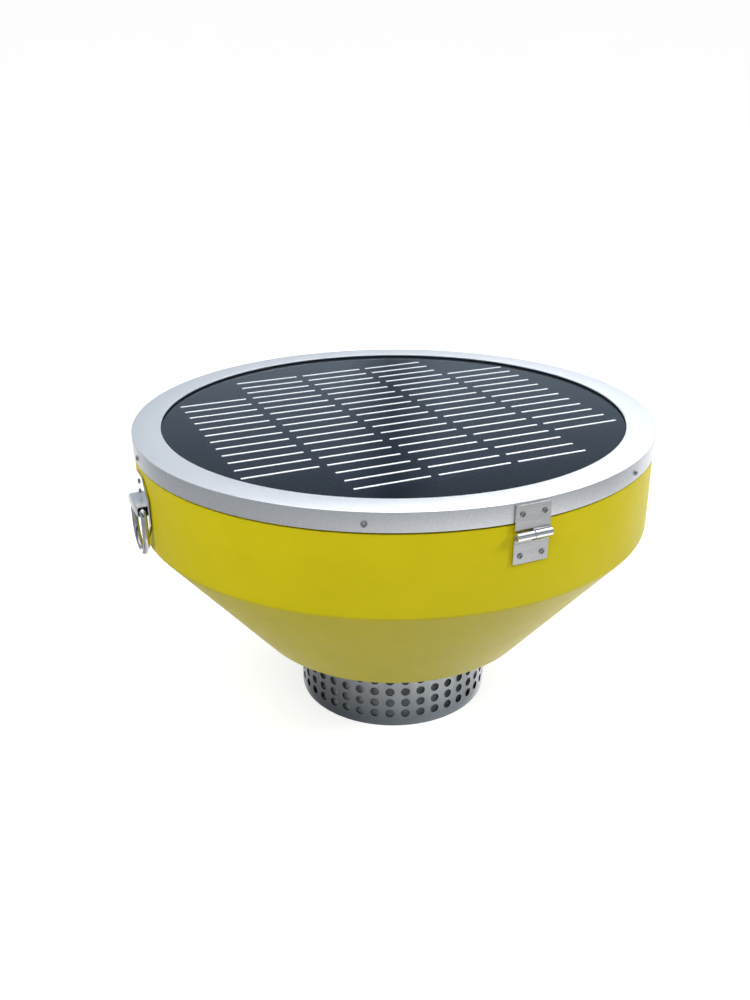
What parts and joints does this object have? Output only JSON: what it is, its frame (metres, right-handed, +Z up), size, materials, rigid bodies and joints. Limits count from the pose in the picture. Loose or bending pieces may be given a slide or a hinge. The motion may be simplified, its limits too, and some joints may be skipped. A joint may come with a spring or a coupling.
{
  "type": "water quality monitoring buoy",
  "caption": "Round floating buoy: a hinged solar-panel lid on a straight-sided, cone-bottomed hull, ring handles at its sides and a perforated strainer below.",
  "frame": {"origin": "middle of the strainer's flat bottom, on the surface that the buoy stands on", "axes": "+Z up, the lid's hinge at -Y, the ring handles at +X and -X"},
  "size_m": [0.5188, 0.5068, 0.3],
  "materials": {
    "hull_yellow": "moulded, satin",
    "rim_aluminium": "satin",
    "panel_glass": "polished",
    "cell_sheet": "smooth",
    "ribbon_tin": "bright",
    "hinge_steel": "satin",
    "ring_steel": "polished",
    "plate_steel": "satin",
    "strainer_steel": "dull",
    "filter_felt": "felt",
    "sonde_black": "matte",
    "battery_black": "matte",
    "control_grey": "matte",
    "junction_black": "matte"
  },
  "bodies": {
    "hull": {"hull_shell": "hull_yellow", "hinge_leaf_lower": "hinge_steel", "hinge_pin": "hinge_steel", "strainer_sheet": "strainer_steel", "strainer_pan": "strainer_steel", "filter_sleeve": "filter_felt", "sensor_sonde": "sonde_black", "battery_block": "battery_black", "control_box": "control_grey", "handle_plate_right": "plate_steel", "handle_saddle_right": "plate_steel", "handle_plate_left": "plate_steel", "handle_saddle_left": "plate_steel"},
    "lid": {"lid_rim": "rim_aluminium", "panel_glass": "panel_glass", "cell_sheet": "cell_sheet", "bus_ribbons": "ribbon_tin", "junction_box": "junction_black", "hinge_leaf_upper": "hinge_steel"},
    "ring_right": {"handle_ring_right": "ring_steel"},
    "ring_left": {"handle_ring_left": "ring_steel"}
  },
  "joints": [
    {"name": "lid_hinge", "type": "hinge", "parent": "hull", "child": "lid", "pos_m": [0, -0.2533, 0.2724], "axis": [1, 0, 0], "range_deg": [0, 100]},
    {"name": "ring_right_swing", "type": "hinge", "parent": "hull", "child": "ring_right", "pos_m": [0.25425, 0, 0.247], "axis": [0, -1, 0], "range_deg": [0, 150]},
    {"name": "ring_left_swing", "type": "hinge", "parent": "hull", "child": "ring_left", "pos_m": [-0.25425, 0, 0.247], "axis": [0, 1, 0], "range_deg": [0, 150]}
  ]
}
